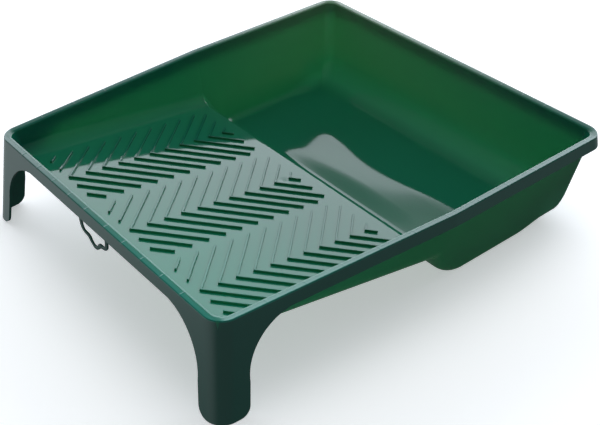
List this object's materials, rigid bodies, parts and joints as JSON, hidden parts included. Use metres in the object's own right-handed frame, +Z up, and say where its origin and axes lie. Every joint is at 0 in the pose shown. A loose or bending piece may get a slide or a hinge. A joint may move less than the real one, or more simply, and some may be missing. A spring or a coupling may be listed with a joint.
{
  "type": "paint roller tray",
  "caption": "One-piece moulded paint roller tray with a ribbed ramp, a deep paint well, a turned-down rim, two corner legs and a hanging loop.",
  "frame": {"origin": "centre of the footprint on the surface that the tray stands on", "axes": "+X across the tray to the right, +Y from the shallow end to the deep end, +Z up"},
  "size_m": [0.3224, 0.3722, 0.077],
  "materials": {
    "moulding": "semi-gloss moulded polypropylene, dark green",
    "ribs": "semi-gloss moulded polypropylene, dark green",
    "legs": "satin moulded polypropylene, dark green"
  },
  "bodies": {
    "root": {"ramp_deck": "moulding", "ramp_drop": "moulding", "well_floor": "moulding", "front_wall": "moulding", "back_wall": "moulding", "left_ramp_wall": "moulding", "right_ramp_wall": "moulding", "left_well_wall": "moulding", "right_well_wall": "moulding", "front_left_corner": "moulding", "front_right_corner": "moulding", "back_left_corner": "moulding", "back_right_corner": "moulding", "rim_front": "moulding", "rim_back": "moulding", "rim_left": "moulding", "rim_right": "moulding", "apron_front": "moulding", "apron_back": "moulding", "apron_left": "moulding", "apron_right": "moulding", "webs_front": "moulding", "webs_back": "moulding", "webs_left": "moulding", "webs_right": "moulding", "herringbone_left": "ribs", "herringbone_centre": "ribs", "herringbone_right": "ribs", "left_leg": "legs", "right_leg": "legs", "hanging_loop": "legs"}
  },
  "joints": []
}
